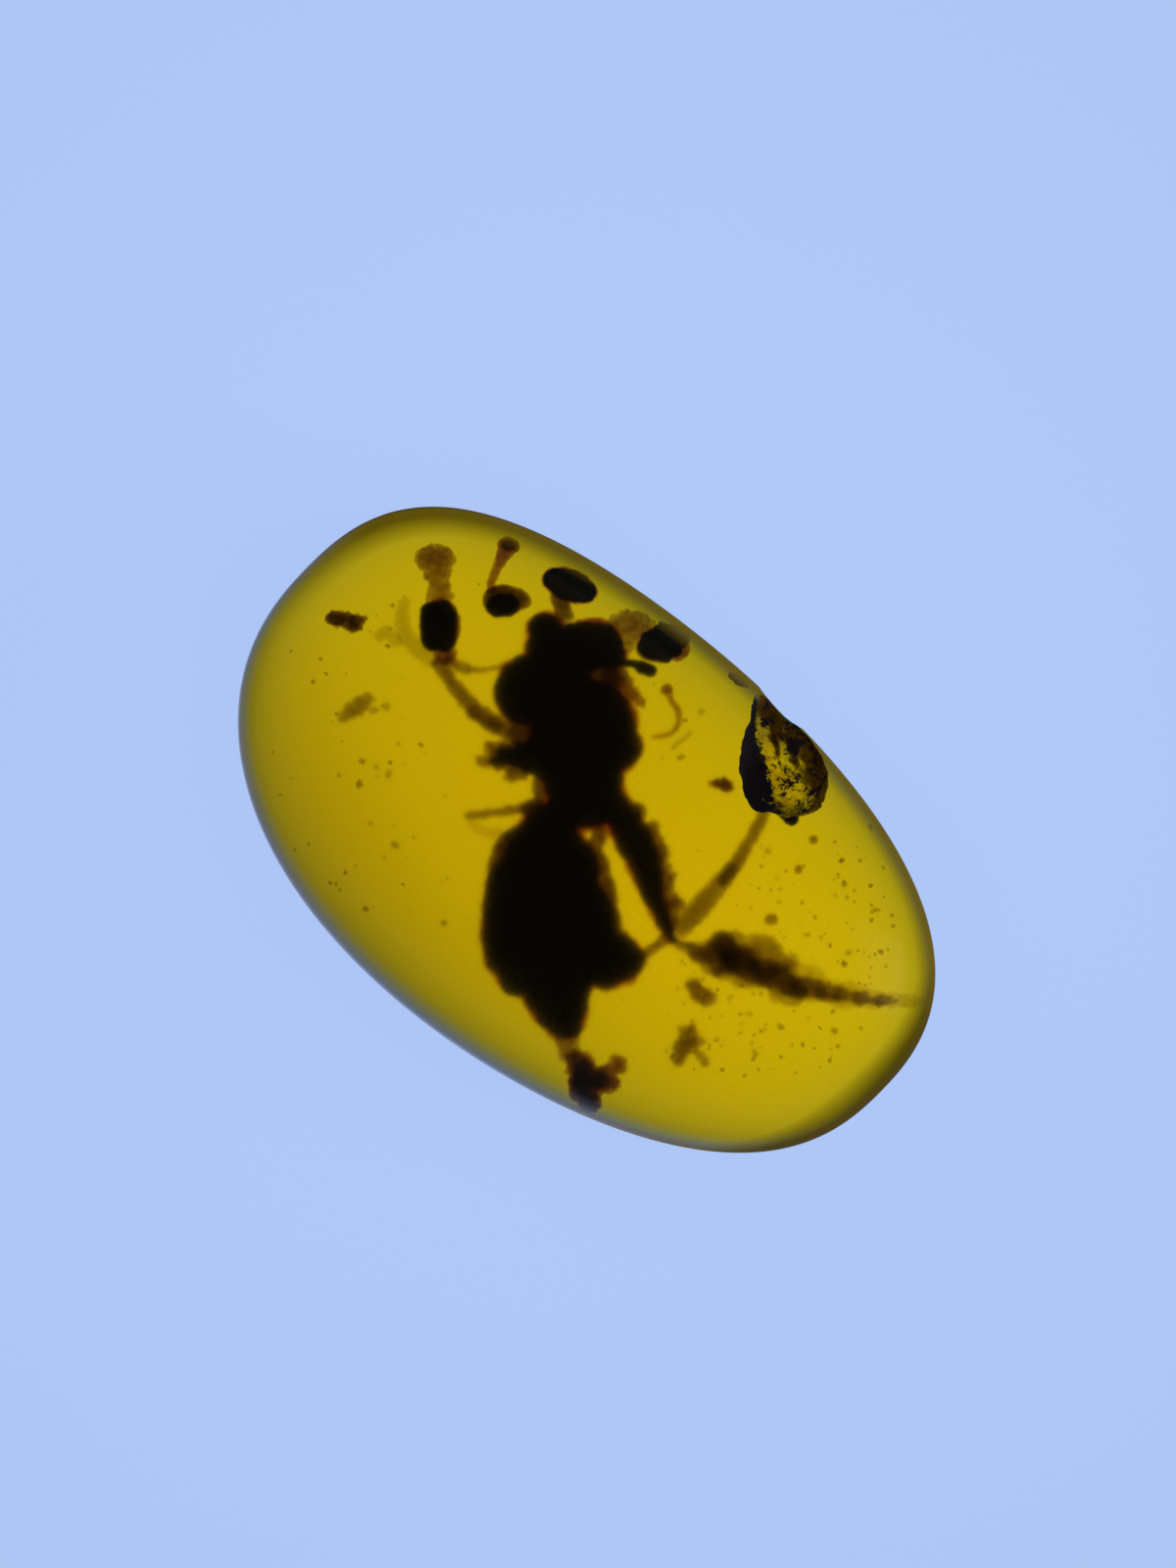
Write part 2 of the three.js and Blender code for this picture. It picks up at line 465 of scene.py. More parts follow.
# One skin round everything in a shape, melted together
def fuse(shape, voxel, softness=2):
    rawMesh = bpy.data.meshes.new("raw")
    shape.to_mesh(rawMesh)
    shape.free()
    raw = objectFrom(rawMesh, "raw")
    remesh = raw.modifiers.new("skin", "REMESH")
    remesh.mode = "VOXEL"
    remesh.voxel_size = voxel
    skinMesh = bpy.data.meshes.new_from_object(raw.evaluated_get(bpy.context.evaluated_depsgraph_get()))
    bpy.data.objects.remove(raw)
    fused = bmesh.new()
    fused.from_mesh(skinMesh)
    for _ in range(softness):
        bmesh.ops.smooth_vert(fused, verts=fused.verts, factor=0.5,
                              use_axis_x=True, use_axis_y=True, use_axis_z=True)
    return fused


# Puts a shape in its place under the dome, with its faces outwards, as a finished piece
def addPiece(name, shape, finish):
    for vert in shape.verts:
        vert.co = underDome(vert.co)
    bmesh.ops.recalc_face_normals(shape, faces=shape.faces)
    if shape.calc_volume(signed=True) < 0:
        bmesh.ops.reverse_faces(shape, faces=shape.faces)
    piece = objectFrom(meshFrom(shape, name), name)
    piece.data.materials.append(finish)
    shape.free()
    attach(piece, "root")
    return piece


# What a piece of a group has unless it says otherwise, in millimetres
usual = {"grow": 0.02, "voxel": 0.03, "softness": 2, "bumps": [(0.03, 0.12), (0.02, 0.05)]}


# Adds every piece of a group, each melted together and roughened
def addGroup(group, seed):
    for number, (name, own) in enumerate(group.items()):
        piece = {**usual, **own}
        shape = fuse(makeShape(piece, piece["grow"]), piece["voxel"], piece["softness"])
        roughen(shape, piece["bumps"], seed + number)
        addPiece(name, shape, piece["finish"])


# Two colours in soft patches of a size in millimetres
def patches(tree, size, low, high):
    return addRamp(tree, [(0.35, low), (0.65, high)], addNoise(tree, objectPlace(tree), size, detail=4.0))


def cuticleFinish(name, look):
    finish, tree = newFinish(name)
    colour = patches(tree, look["grain"], look["dark"], look["light"])
    skin = addNode(tree, "ShaderNodeBsdfPrincipled", None,
                   {"Base Color": colour, "Roughness": look["roughness"],
                    "Specular IOR Level": look["gloss"]})
    showSurface(tree, skin)
    return finish


# Soft see-through matter that doesn't bend light, so only its colour shows. "loss" is the share of red, green
# and blue taken away, as a rate per millimetre
def tissueFinish(name, look):
    finish, tree = newFinish(name)
    colour = patches(tree, look["grain"], look["patch"], (1, 1, 1))
    skin = addNode(tree, "ShaderNodeBsdfPrincipled", None,
                   {"Base Color": colour, "Roughness": 0.0, "IOR": 1.0, "Transmission Weight": 1,
                    "Specular IOR Level": 0.0})
    strongest = max(look["loss"])
    tint = [1 - loss / strongest for loss in look["loss"]]
    depthTint = addNode(tree, "ShaderNodeVolumeAbsorption", None,
                        {"Color": (*tint, 1), "Density": strongest / mm})
    showSurface(tree, skin, depthTint)
    return finish


cuticle = cuticleFinish("black cuticle", {"dark": (0.002, 0.0016, 0.002), "light": (0.006, 0.004, 0.004),
                                          "grain": 0.1, "roughness": 0.6, "gloss": 0.05})
stain = tissueFinish("reddish stain", {"patch": (0.8, 0.7, 0.5), "grain": 0.12, "loss": (2.6, 6.4, 12.0)})
brownTissue = tissueFinish("brown tissue", {"patch": (0.5, 0.42, 0.3), "grain": 0.1, "loss": (3.4, 4.8, 9.0)})
legTissue = tissueFinish("olive brown leg",
                         {"patch": (0.6, 0.55, 0.4), "grain": 0.08, "loss": (5.2, 6.6, 12.0)})
reddishTissue = tissueFinish("reddish brown tissue",
                             {"patch": (0.6, 0.45, 0.3), "grain": 0.08, "loss": (6.0, 9.5, 14.0)})
denseTissue = tissueFinish("dark brown matter",
                           {"patch": (0.5, 0.42, 0.35), "grain": 0.1, "loss": (7.0, 9.0, 12.0)})
faintTissue = tissueFinish("thin olive matter",
                           {"patch": (0.75, 0.7, 0.5), "grain": 0.08, "loss": (3.6, 4.4, 9.0)})
debrisMatter = tissueFinish("brown debris",
                            {"patch": (0.6, 0.5, 0.35), "grain": 0.09, "loss": (6.4, 8.0, 13.0)})
paleTissue = tissueFinish("pale olive matter",
                          {"patch": (0.85, 0.82, 0.6), "grain": 0.08, "loss": (1.2, 1.4, 6.0)})
print("finishes made")

# The insect's opaque body
insect = {
    "head": {
        "balls": [(0.16, 3.12, 2.1, 0.46, 0.34, 0.42), (0.3, 3.04, 2.05, 0.34, 0.28, 0.36, -15),
                  (-0.36, 2.9, 2.1, 0.4, 0.27, 0.36), (-0.12, 3.14, 2.1, 0.24, 0.25, 0.3),
                  (-0.02, 2.85, 2.1, 0.3, 0.22, 0.3)],
    },
    "rightEye": {"balls": [(0.38, 3.02, 2.3, 0.3, 0.29, 0.24, -20), (0.55, 2.92, 2.2, 0.15, 0.2, 0.2)]},
    "leftEye": {"balls": [(-0.56, 3.37, 2.1, 0.26, 0.2, 0.22, 15), (-0.42, 3.3, 2.1, 0.2, 0.18, 0.2)]},
    "cheek": {"balls": [(-0.6, 3.02, 2.05, 0.22, 0.25, 0.3), (-0.5, 3.14, 2.05, 0.2, 0.2, 0.22)]},
    "thorax": {
        "balls": [(-0.5, 2.36, 2.15, 0.78, 0.58, 0.66, -18), (0.06, 1.88, 2.15, 0.8, 0.66, 0.72),
                  (0.4, 1.52, 2.1, 0.54, 0.43, 0.5), (-0.3, 1.48, 2.1, 0.52, 0.56, 0.6),
                  (-0.88, 2.38, 2.1, 0.42, 0.5, 0.44), (-0.28, 2.66, 2.1, 0.42, 0.32, 0.44)],
    },
    "waist": {"balls": [(0.05, 0.95, 2.05, 0.6, 0.5, 0.52), (0.0, 0.55, 2.05, 0.62, 0.3, 0.4),
                        (-0.52, 0.2, 2.0, 0.45, 0.32, 0.4)]},
    "abdomen": {
        "balls": [(-0.46, -0.4, 2.0, 0.74, 0.74, 0.6), (-0.42, -1.0, 2.0, 0.84, 0.7, 0.62),
                  (-0.4, -1.5, 2.0, 0.88, 0.68, 0.56), (-0.36, -2.15, 1.95, 0.52, 0.6, 0.42),
                  (-0.31, -2.44, 1.9, 0.42, 0.44, 0.34), (-0.27, -2.66, 1.9, 0.32, 0.28, 0.26),
                  (-0.19, -2.76, 1.9, 0.24, 0.22, 0.2)],
    },
    "leftWingFold": {
        "balls": [(-1.14, -0.8, 2.05, 0.32, 0.56, 0.3), (-1.16, -1.4, 2.0, 0.34, 0.66, 0.3),
                  (-1.04, -1.96, 1.95, 0.23, 0.36, 0.22, 12), (-0.9, -2.1, 1.95, 0.2, 0.22, 0.2)],
    },
    "rightWingFold": {
        "balls": [(0.3, -1.16, 2.1, 0.27, 0.5, 0.3, 16), (0.55, -1.72, 2.05, 0.42, 0.36, 0.26, -25),
                  (0.76, -1.76, 2.05, 0.23, 0.24, 0.2), (0.4, -1.92, 2.05, 0.34, 0.3, 0.24),
                  (0.68, -1.93, 2.05, 0.22, 0.18, 0.18)],
    },
    "rightFemur": {
        "limbs": [[(0.28, 0.95, 2.1, 0.22), (0.48, 0.7, 2.1, 0.24), (0.67, 0.37, 2.1, 0.26),
                   (0.84, 0.08, 2.1, 0.27), (0.94, -0.15, 2.1, 0.25), (1.02, -0.41, 2.1, 0.215),
                   (1.11, -0.71, 2.1, 0.17), (1.21, -0.97, 2.1, 0.13), (1.31, -1.22, 2.1, 0.09),
                   (1.39, -1.4, 2.1, 0.05), (1.45, -1.5, 2.1, 0.04)]],
    },
}
# A reddish stain, stainDepth thick, lies round the whole body
insectLook = {"voxel": 0.035, "grow": 0.015, "bumps": [(0.05, 0.3), (0.03, 0.1)],
              "stainDepth": 0.055, "stainSoftness": 4, "stainSeed": 40}


def addInsect():
    for number, (name, parts) in enumerate(insect.items()):
        shape = fuse(makeShape(parts, insectLook["grow"]), insectLook["voxel"])
        roughen(shape, insectLook["bumps"], number)
        addPiece(name, shape, cuticle)
    everything = {kind: [item for parts in insect.values() for item in parts.get(kind, [])]
                  for kind in ("balls", "limbs")}
    aroundIt = makeShape(everything, insectLook["stainDepth"])
    aroundIt = fuse(aroundIt, insectLook["voxel"], insectLook["stainSoftness"])
    roughen(aroundIt, insectLook["bumps"], insectLook["stainSeed"])
    addPiece("bodyStain", aroundIt, stain)


addInsect()
print("insect made")

# Legs, wing edges and mouthparts, and the loose scraps near them
legs = {
    "leftForeleg": {
        "finish": legTissue,
        "limbs": [[(-2.24, 2.86, 2.2, 0.08), (-2.1, 2.69, 2.2, 0.1), (-1.93, 2.45, 2.2, 0.105),
                   (-1.74, 2.22, 2.2, 0.11), (-1.54, 2.03, 2.15, 0.13), (-1.3, 1.87, 2.15, 0.135),
                   (-1.05, 1.77, 2.1, 0.14), (-0.84, 1.7, 2.1, 0.14), (-0.6, 1.66, 2.1, 0.12)]],
        "bumps": [(0.03, 0.12), (0.03, 0.05)], "voxel": 0.02,
    },
    "foreFemurPad": {
        "finish": faintTissue,
        "balls": [(-1.62, 2.02, 2.15, 0.14, 0.1, 0.1, -45), (-1.36, 1.84, 2.15, 0.16, 0.1, 0.1, -25),
                  (-0.94, 1.72, 2.1, 0.2, 0.14, 0.14), (-0.74, 1.86, 2.1, 0.2, 0.14, 0.12)],
        "bumps": [(0.05, 0.1), (0.03, 0.04)], "voxel": 0.02,
    },
    "leftForetarsus": {
        "finish": paleTissue,
        "limbs": [[(-2.66, 3.84, 2.2, 0.05), (-2.72, 3.66, 2.2, 0.09), (-2.74, 3.48, 2.2, 0.11),
                   (-2.68, 3.24, 2.2, 0.12), (-2.5, 3.04, 2.2, 0.13), (-2.32, 2.9, 2.2, 0.13),
                   (-2.2, 2.8, 2.2, 0.1)]],
        "voxel": 0.025,
    },
    "foretarsusClaw": {
        "finish": legTissue,
        "limbs": [[(-2.1, 2.9, 2.1, 0.09), (-1.96, 2.8, 2.1, 0.075), (-1.8, 2.73, 2.1, 0.07),
                   (-1.7, 2.71, 2.1, 0.065)]],
        "voxel": 0.02,
    },
    "foretarsusHair": {
        "finish": legTissue,
        "limbs": [[(-1.74, 2.72, 2.1, 0.045), (-1.51, 2.7, 2.1, 0.035), (-1.32, 2.74, 2.1, 0.03),
                   (-1.15, 2.78, 2.1, 0.03), (-1.0, 2.8, 2.1, 0.03)]],
        "voxel": 0.016, "bumps": [(0.01, 0.06)],
    },
    "leftMidleg": {
        "finish": cuticle,
        "balls": [(-1.08, 1.37, 2.1, 0.2, 0.12, 0.12, -12), (-0.9, 1.38, 2.1, 0.22, 0.17, 0.16),
                  (-0.62, 1.42, 2.1, 0.3, 0.22, 0.22), (-0.7, 1.24, 2.1, 0.22, 0.12, 0.14),
                  (-1.28, 1.3, 2.1, 0.12, 0.05, 0.06, -10)],
        "voxel": 0.022, "bumps": [(0.05, 0.1), (0.03, 0.04)],
    },
    "leftMidlegEnd": {
        "finish": denseTissue,
        "balls": [(-1.22, 1.44, 2.1, 0.22, 0.15, 0.13), (-0.95, 1.4, 2.1, 0.28, 0.22, 0.2),
                  (-1.46, 1.29, 2.1, 0.13, 0.07, 0.07, -10), (-1.22, 1.26, 2.1, 0.18, 0.09, 0.09),
                  (-1.05, 1.16, 2.1, 0.1, 0.16, 0.1), (-1.06, 1.04, 2.1, 0.08, 0.07, 0.07),
                  (-1.36, 1.52, 2.1, 0.1, 0.08, 0.08), (-0.62, 1.34, 2.1, 0.3, 0.26, 0.2),
                  (-0.9, 1.1, 2.1, 0.1, 0.08, 0.08)],
        "bumps": [(0.07, 0.09), (0.04, 0.04)], "voxel": 0.02,
    },
    "leftHindleg": {
        "finish": denseTissue,
        "limbs": [[(-1.76, 0.42, 2.0, 0.04), (-1.68, 0.46, 2.0, 0.05), (-1.35, 0.5, 2.0, 0.055),
                   (-1.0, 0.55, 2.0, 0.065), (-0.78, 0.6, 2.0, 0.09), (-0.6, 0.64, 2.0, 0.12)]],
        "voxel": 0.02,
    },
    "hindCoxa": {
        "finish": denseTissue,
        "balls": [(-0.74, 0.56, 2.0, 0.18, 0.12, 0.12, 10), (-0.62, 0.44, 2.0, 0.16, 0.22, 0.16),
                  (-0.86, 0.2, 2.0, 0.3, 0.14, 0.14, 20), (-0.62, 0.9, 2.0, 0.1, 0.3, 0.12)],
        "bumps": [(0.04, 0.1), (0.02, 0.04)], "voxel": 0.02,
    },
    "leftHindtarsus": {
        "finish": paleTissue,
        "limbs": [[(-1.72, 0.38, 2.0, 0.05), (-1.6, 0.28, 2.0, 0.06), (-1.44, 0.2, 2.0, 0.07),
                   (-1.22, 0.18, 2.0, 0.09)]],
        "voxel": 0.02,
    },
    "leftWingEdge": {
        "finish": denseTissue,
        "balls": [(-1.12, -0.1, 2.05, 0.24, 0.32, 0.2, -10), (-1.24, -0.5, 2.05, 0.2, 0.5, 0.18),
                  (-1.3, -1.0, 2.05, 0.22, 0.5, 0.2), (-0.9, 0.06, 2.0, 0.3, 0.22, 0.2)],
        "bumps": [(0.04, 0.2), (0.02, 0.06)],
    },
    "rightWingEdge": {
        "finish": denseTissue,
        "balls": [(0.3, 0.16, 2.05, 0.1, 0.2, 0.1), (0.24, -0.06, 2.05, 0.1, 0.2, 0.1, 30),
                  (0.3, -0.3, 2.05, 0.15, 0.28, 0.14, 18), (0.42, -0.72, 2.05, 0.14, 0.34, 0.14, 12),
                  (0.5, -1.1, 2.05, 0.12, 0.28, 0.12, 14), (0.62, -1.42, 2.05, 0.12, 0.16, 0.12, 30)],
        "bumps": [(0.04, 0.12), (0.03, 0.05)], "voxel": 0.022,
    },
    "femurEdge": {
        "finish": denseTissue,
        "balls": [(1.04, 0.12, 2.1, 0.16, 0.26, 0.14, -24), (1.18, -0.2, 2.1, 0.16, 0.3, 0.14, -16),
                  (1.26, -0.55, 2.1, 0.17, 0.3, 0.14), (1.44, -0.9, 2.1, 0.17, 0.14, 0.13),
                  (1.36, -1.1, 2.1, 0.13, 0.24, 0.12), (0.86, 0.46, 2.1, 0.12, 0.2, 0.12, -24)],
        "bumps": [(0.08, 0.12), (0.05, 0.05)], "voxel": 0.02,
    },
    "rightTibia": {
        "finish": legTissue,
        "limbs": [[(2.9, 0.6, 2.2, 0.06), (2.8, 0.42, 2.2, 0.085), (2.69, 0.21, 2.2, 0.085),
                   (2.5, -0.13, 2.2, 0.095), (2.3, -0.43, 2.2, 0.11), (2.14, -0.6, 2.2, 0.08)]],
        "voxel": 0.02, "bumps": [(0.03, 0.1), (0.02, 0.04)],
    },
    "rightTibiaFoot": {
        "finish": faintTissue,
        "limbs": [[(2.4, -0.3, 2.2, 0.09), (2.2, -0.54, 2.2, 0.13), (2.04, -0.73, 2.2, 0.15),
                   (1.84, -0.96, 2.2, 0.165), (1.64, -1.18, 2.2, 0.16), (1.5, -1.36, 2.2, 0.11)]],
        "voxel": 0.02, "bumps": [(0.04, 0.12), (0.03, 0.05)],
    },
    "hindTarsus": {
        "finish": denseTissue,
        "limbs": [[(1.5, -1.46, 2.1, 0.06), (1.34, -1.44, 2.1, 0.07), (1.18, -1.54, 2.1, 0.065),
                   (1.0, -1.68, 2.1, 0.07), (0.9, -1.78, 2.1, 0.08)]],
        "voxel": 0.02,
    },
    "palp": {
        "finish": cuticle,
        "limbs": [[(0.5, 2.88, 2.2, 0.05), (0.68, 2.82, 2.2, 0.04), (0.84, 2.79, 2.2, 0.045),
                   (0.98, 2.74, 2.2, 0.085), (1.1, 2.7, 2.2, 0.085), (1.18, 2.66, 2.2, 0.05)]],
        "voxel": 0.018, "bumps": [(0.03, 0.1)],
    },
    "mouthparts": {
        "finish": reddishTissue,
        "balls": [(0.5, 2.58, 2.1, 0.16, 0.12, 0.1, -30), (0.68, 2.46, 2.1, 0.16, 0.12, 0.11, -40),
                  (0.8, 2.32, 2.1, 0.13, 0.11, 0.11, -40), (0.93, 2.22, 2.1, 0.08, 0.07, 0.08, -30),
                  (0.76, 2.5, 2.1, 0.06, 0.08, 0.05)],
        "bumps": [(0.05, 0.08), (0.04, 0.035)], "voxel": 0.018,
    },
    "throat": {
        "finish": denseTissue,
        "balls": [(0.3, 2.6, 2.1, 0.36, 0.22, 0.16, -20), (0.55, 2.64, 2.1, 0.2, 0.16, 0.12, -20)],
        "bumps": [(0.04, 0.1)],
    },
    "rustSpeck": {
        "finish": reddishTissue,
        "balls": [(2.25, 0.92, 2.5, 0.08, 0.075, 0.24), (2.14, 0.95, 2.5, 0.07, 0.04, 0.2),
                  (2.07, 0.97, 2.5, 0.04, 0.03, 0.12)],
        "bumps": [(0.09, 0.06), (0.04, 0.03)], "voxel": 0.012,
    },
    "rimWedge": {
        "finish": cuticle,
        "limbs": [[(2.3, 2.63, 2.4, 0.03), (2.42, 2.57, 2.4, 0.06), (2.53, 2.5, 2.4, 0.05),
                   (2.6, 2.44, 2.4, 0.02)]],
        "bumps": [(0.03, 0.05)], "voxel": 0.014,
    },
    "hollowLump": {
        "finish": cuticle,
        "balls": [(3.18, 0.48, 2.9, 0.12, 0.08, 0.1, -30), (3.28, 0.41, 2.9, 0.09, 0.07, 0.08, 20)],
        "bumps": [(0.05, 0.08)], "voxel": 0.018,
    },
    "looseBristle": {
        "finish": reddishTissue,
        "limbs": [[(1.34, 2.4, 2.2, 0.06), (1.36, 2.36, 2.2, 0.05), (1.41, 2.24, 2.2, 0.035),
                   (1.5, 2.1, 2.2, 0.04), (1.53, 1.94, 2.2, 0.035), (1.47, 1.79, 2.2, 0.03),
                   (1.34, 1.7, 2.2, 0.028), (1.1, 1.67, 2.2, 0.02)]],
        "balls": [(1.34, 2.4, 2.2, 0.085, 0.08, 0.08)],
        "voxel": 0.016, "bumps": [(0.01, 0.05)],
    },
    "looseHair": {
        "finish": faintTissue,
        "limbs": [[(1.4, 1.48, 2.2, 0.02), (1.54, 1.6, 2.2, 0.025), (1.72, 1.74, 2.2, 0.02)],
                  [(1.84, 2.02, 2.2, 0.03), (1.9, 2.1, 2.2, 0.03)]],
        "voxel": 0.014, "bumps": [(0.01, 0.05)],
    },
}
addGroup(legs, seed=100)
print("legs made")

# Small stalked bodies along the rim, beside the head
stalkedBodies = {
    "barrelBody": {"finish": cuticle, "balls": [(-2.28, 3.55, 2.6, 0.18, 0.2, 0.2),
                                                (-2.09, 3.56, 2.6, 0.18, 0.2, 0.2),
                                                (-2.26, 3.21, 2.6, 0.19, 0.21, 0.2),
                                                (-2.08, 3.2, 2.6, 0.18, 0.2, 0.2),
                                                (-2.18, 3.38, 2.6, 0.28, 0.26, 0.22)],
                   "bumps": [(0.03, 0.15), (0.015, 0.05)]},
    "barrelStain": {"finish": reddishTissue, "balls": [(-2.16, 3.4, 2.6, 0.31, 0.4, 0.24),
                                                       (-2.08, 2.95, 2.5, 0.18, 0.17, 0.1)],
                    "bumps": [(0.03, 0.1)]},
    "barrelCap": {
        "finish": brownTissue,
        "balls": [(-2.23, 4.42, 2.5, 0.3, 0.21, 0.18), (-2.2, 4.2, 2.5, 0.21, 0.14, 0.14),
                  (-2.17, 3.98, 2.5, 0.165, 0.18, 0.12), (-2.16, 3.82, 2.5, 0.21, 0.12, 0.12),
                  (-2.4, 4.4, 2.5, 0.12, 0.14, 0.12), (-2.06, 4.42, 2.5, 0.12, 0.14, 0.12)],
        "bumps": [(0.04, 0.1), (0.02, 0.04)], "voxel": 0.02,
    },
    "knobStalk": {
        "finish": reddishTissue,
        "balls": [(-1.1, 4.62, 2.5, 0.16, 0.12, 0.13, -15)],
        "limbs": [[(-1.12, 4.58, 2.5, 0.12), (-1.18, 4.48, 2.5, 0.1), (-1.24, 4.36, 2.5, 0.075),
                   (-1.31, 4.2, 2.5, 0.055), (-1.36, 4.05, 2.5, 0.055), (-1.38, 3.9, 2.5, 0.07)]],
        "bumps": [(0.02, 0.08)], "voxel": 0.02,
    },
    "knobTop": {"finish": denseTissue, "balls": [(-1.1, 4.63, 2.5, 0.1, 0.06, 0.08, -15)],
                "bumps": [(0.02, 0.06)], "voxel": 0.016},
    "dropBody": {"finish": cuticle, "balls": [(-1.24, 3.7, 2.6, 0.19, 0.17, 0.18, 10),
                                              (-1.12, 3.72, 2.6, 0.19, 0.15, 0.18)],
                 "bumps": [(0.03, 0.12)]},
    "dropShell": {
        "finish": denseTissue,
        "balls": [(-1.19, 3.77, 2.6, 0.31, 0.25, 0.22), (-0.98, 3.79, 2.6, 0.18, 0.17, 0.16),
                  (-0.84, 3.77, 2.6, 0.09, 0.09, 0.08)],
        "bumps": [(0.02, 0.12)],
    },
    "ellipseBody": {"finish": cuticle, "balls": [(-0.16, 4.01, 2.5, 0.425, 0.225, 0.22, -21)],
                    "bumps": [(0.025, 0.1)]},
    "ellipseStain": {"finish": stain, "balls": [(-0.16, 4.01, 2.5, 0.45, 0.25, 0.22, -21)],
                     "bumps": [(0.02, 0.1)]},
    "ellipseStalk": {
        "finish": legTissue,
        "limbs": [[(-0.3, 3.9, 2.5, 0.16), (-0.29, 3.76, 2.4, 0.14), (-0.27, 3.62, 2.3, 0.12),
                   (-0.24, 3.46, 2.2, 0.15)]],
    },
    "rimCap": {
        "finish": brownTissue,
        "balls": [(0.77, 3.38, 2.3, 0.36, 0.23, 0.14), (0.6, 3.26, 2.3, 0.2, 0.16, 0.12),
                  (0.95, 3.3, 2.3, 0.2, 0.18, 0.12), (0.72, 3.12, 2.3, 0.12, 0.16, 0.08)],
        "bumps": [(0.06, 0.1), (0.03, 0.04)], "voxel": 0.018,
    },
    "rimBody": {
        "finish": cuticle,
        "balls": [(1.24, 3.11, 2.3, 0.32, 0.25, 0.2, 10), (1.06, 3.04, 2.3, 0.17, 0.14, 0.14),
                  (1.46, 3.2, 2.3, 0.2, 0.19, 0.16), (1.26, 3.3, 2.3, 0.15, 0.12, 0.1),
                  (1.4, 3.02, 2.3, 0.14, 0.12, 0.12)],
        "bumps": [(0.06, 0.14), (0.03, 0.05)], "voxel": 0.022,
    },
    "rimBodyStain": {
        "finish": reddishTissue,
        "balls": [(1.26, 3.1, 2.3, 0.35, 0.28, 0.2, 10), (1.5, 3.02, 2.3, 0.18, 0.17, 0.12),
                  (1.06, 3.04, 2.3, 0.19, 0.17, 0.12), (1.48, 3.2, 2.3, 0.21, 0.2, 0.14),
                  (1.5, 3.3, 2.2, 0.12, 0.06, 0.06, -30)],
        "bumps": [(0.03, 0.1)],
    },
}
addGroup(stalkedBodies, seed=200)
print("stalked bodies made")

